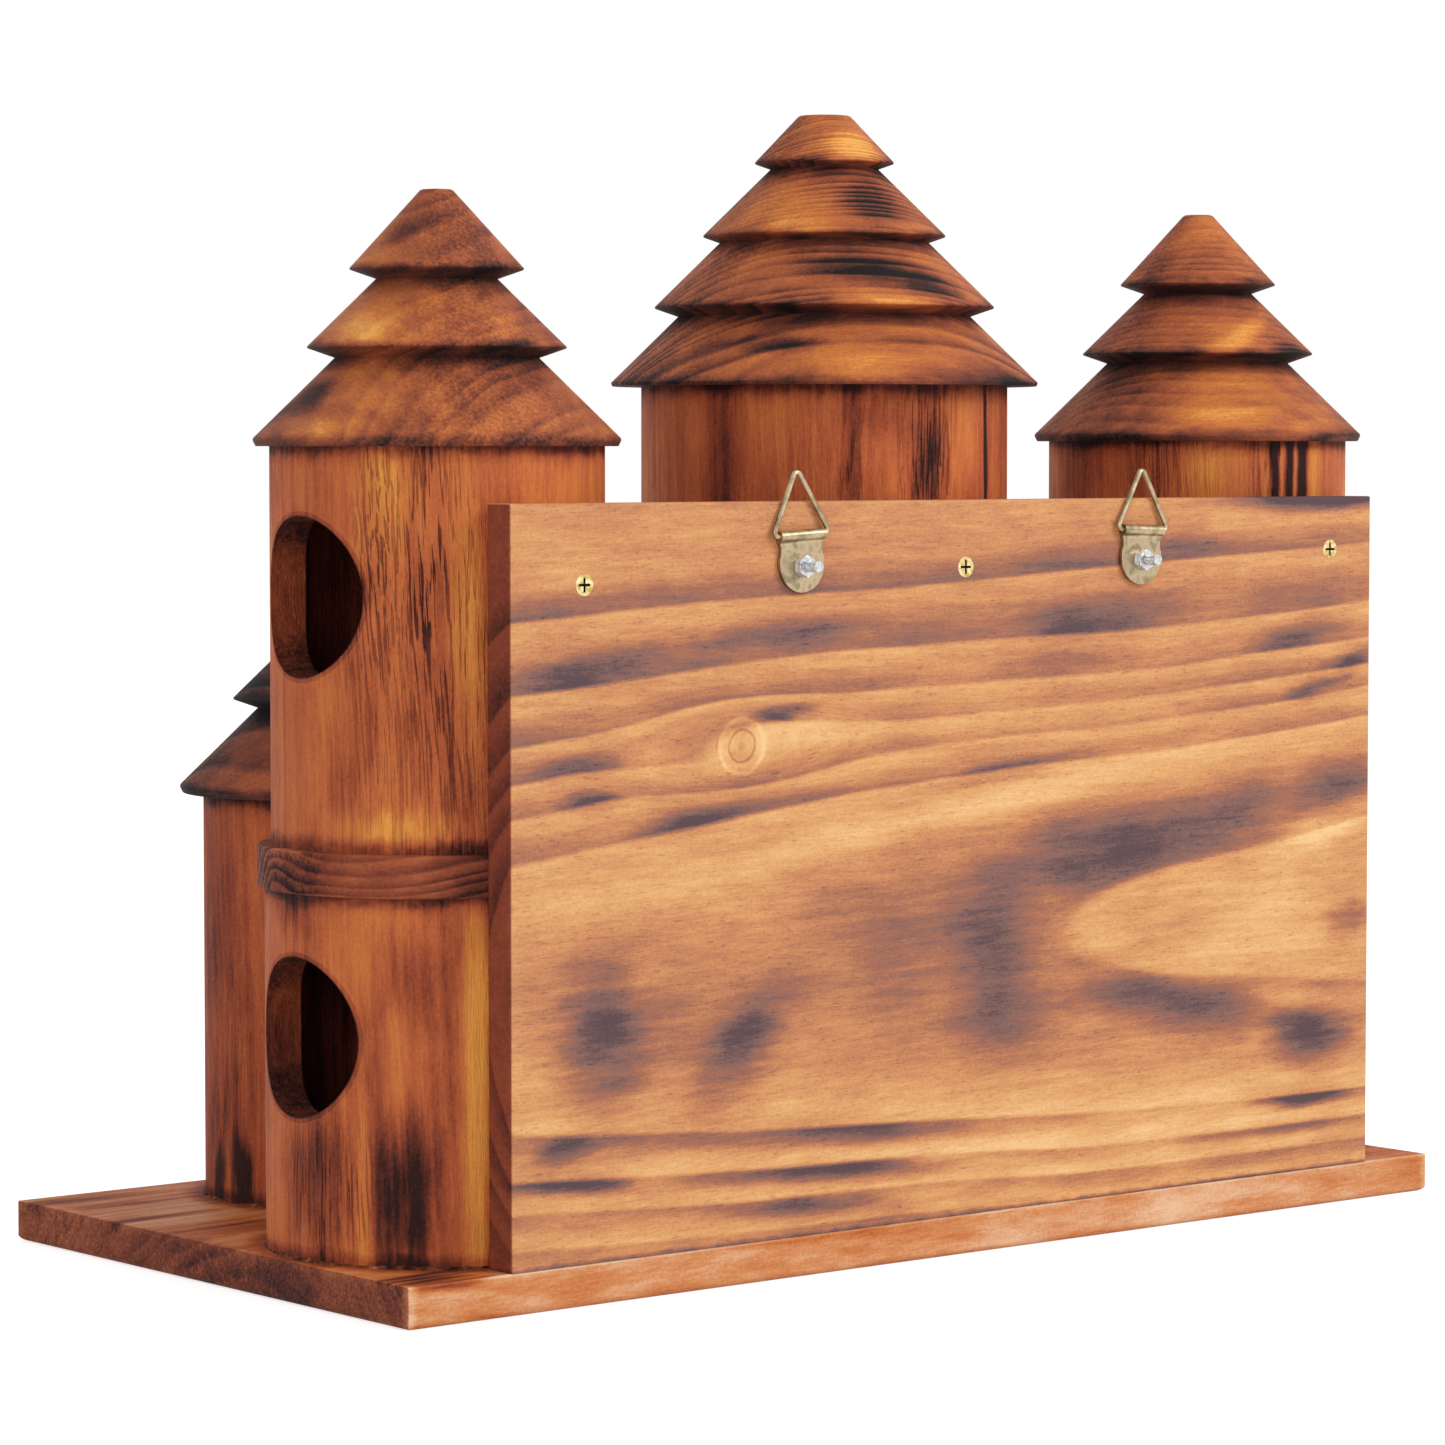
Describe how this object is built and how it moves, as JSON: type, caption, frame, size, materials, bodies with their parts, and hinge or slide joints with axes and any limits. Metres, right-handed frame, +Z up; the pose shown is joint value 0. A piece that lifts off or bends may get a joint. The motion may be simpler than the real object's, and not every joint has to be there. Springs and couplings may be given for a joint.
{
  "type": "multi-chamber birdhouse",
  "caption": "Scorched wooden nesting house of turned round towers with stepped conical roofs, round entrances, a base board, a back panel and two hinged ring hangers.",
  "frame": {"origin": "centre of the base board's underside", "axes": "+Z up, -Y to the front, +X to the right as seen from the front; the back panel and its hangers face +Y"},
  "size_m": [0.5051, 0.2646, 0.421],
  "materials": {
    "base_wood": "scorched and oiled, bare end grain",
    "panel_wood": "scorched and brushed, tan",
    "wall_wood": "turned, scorched and oiled, red-orange",
    "roof_wood": "turned, scorched and oiled, dark rims",
    "disc_wood": "scorched dark red-brown",
    "screw_brass": "plated, satin",
    "plated_steel": "yellow zinc plated",
    "bright_steel": "bright zinc plated"
  },
  "bodies": {
    "house": {"base_board": "base_wood", "back_panel": "panel_wood", "right_lower_wall": "wall_wood", "right_storey_disc": "disc_wood", "right_upper_wall": "wall_wood", "right_roof": "roof_wood", "middle_lower_wall": "wall_wood", "middle_storey_disc": "disc_wood", "middle_upper_wall": "wall_wood", "middle_roof": "roof_wood", "left_lower_wall": "wall_wood", "left_storey_disc": "disc_wood", "left_upper_wall": "wall_wood", "left_roof": "roof_wood", "front_right_wall": "wall_wood", "front_right_roof": "roof_wood", "front_left_wall": "wall_wood", "front_left_roof": "roof_wood", "panel_screws": "screw_brass", "right_hanger_strap": "plated_steel", "right_hanger_bolt": "bright_steel", "right_hanger_nut": "bright_steel", "left_hanger_strap": "plated_steel", "left_hanger_bolt": "bright_steel", "left_hanger_nut": "bright_steel"},
    "right_ring": {"right_hanger_ring": "plated_steel"},
    "left_ring": {"left_hanger_ring": "plated_steel"}
  },
  "joints": [
    {"name": "right_ring_swing", "type": "hinge", "parent": "house", "child": "right_ring", "pos_m": [0.07888, 0.12693, 0.26558], "axis": [-0.9986, 0, 0.0523], "range_deg": [0, 160]},
    {"name": "left_ring_swing", "type": "hinge", "parent": "house", "child": "left_ring", "pos_m": [-0.08909, 0.12693, 0.26559], "axis": [-0.9994, 0, -0.0349], "range_deg": [0, 160]}
  ]
}
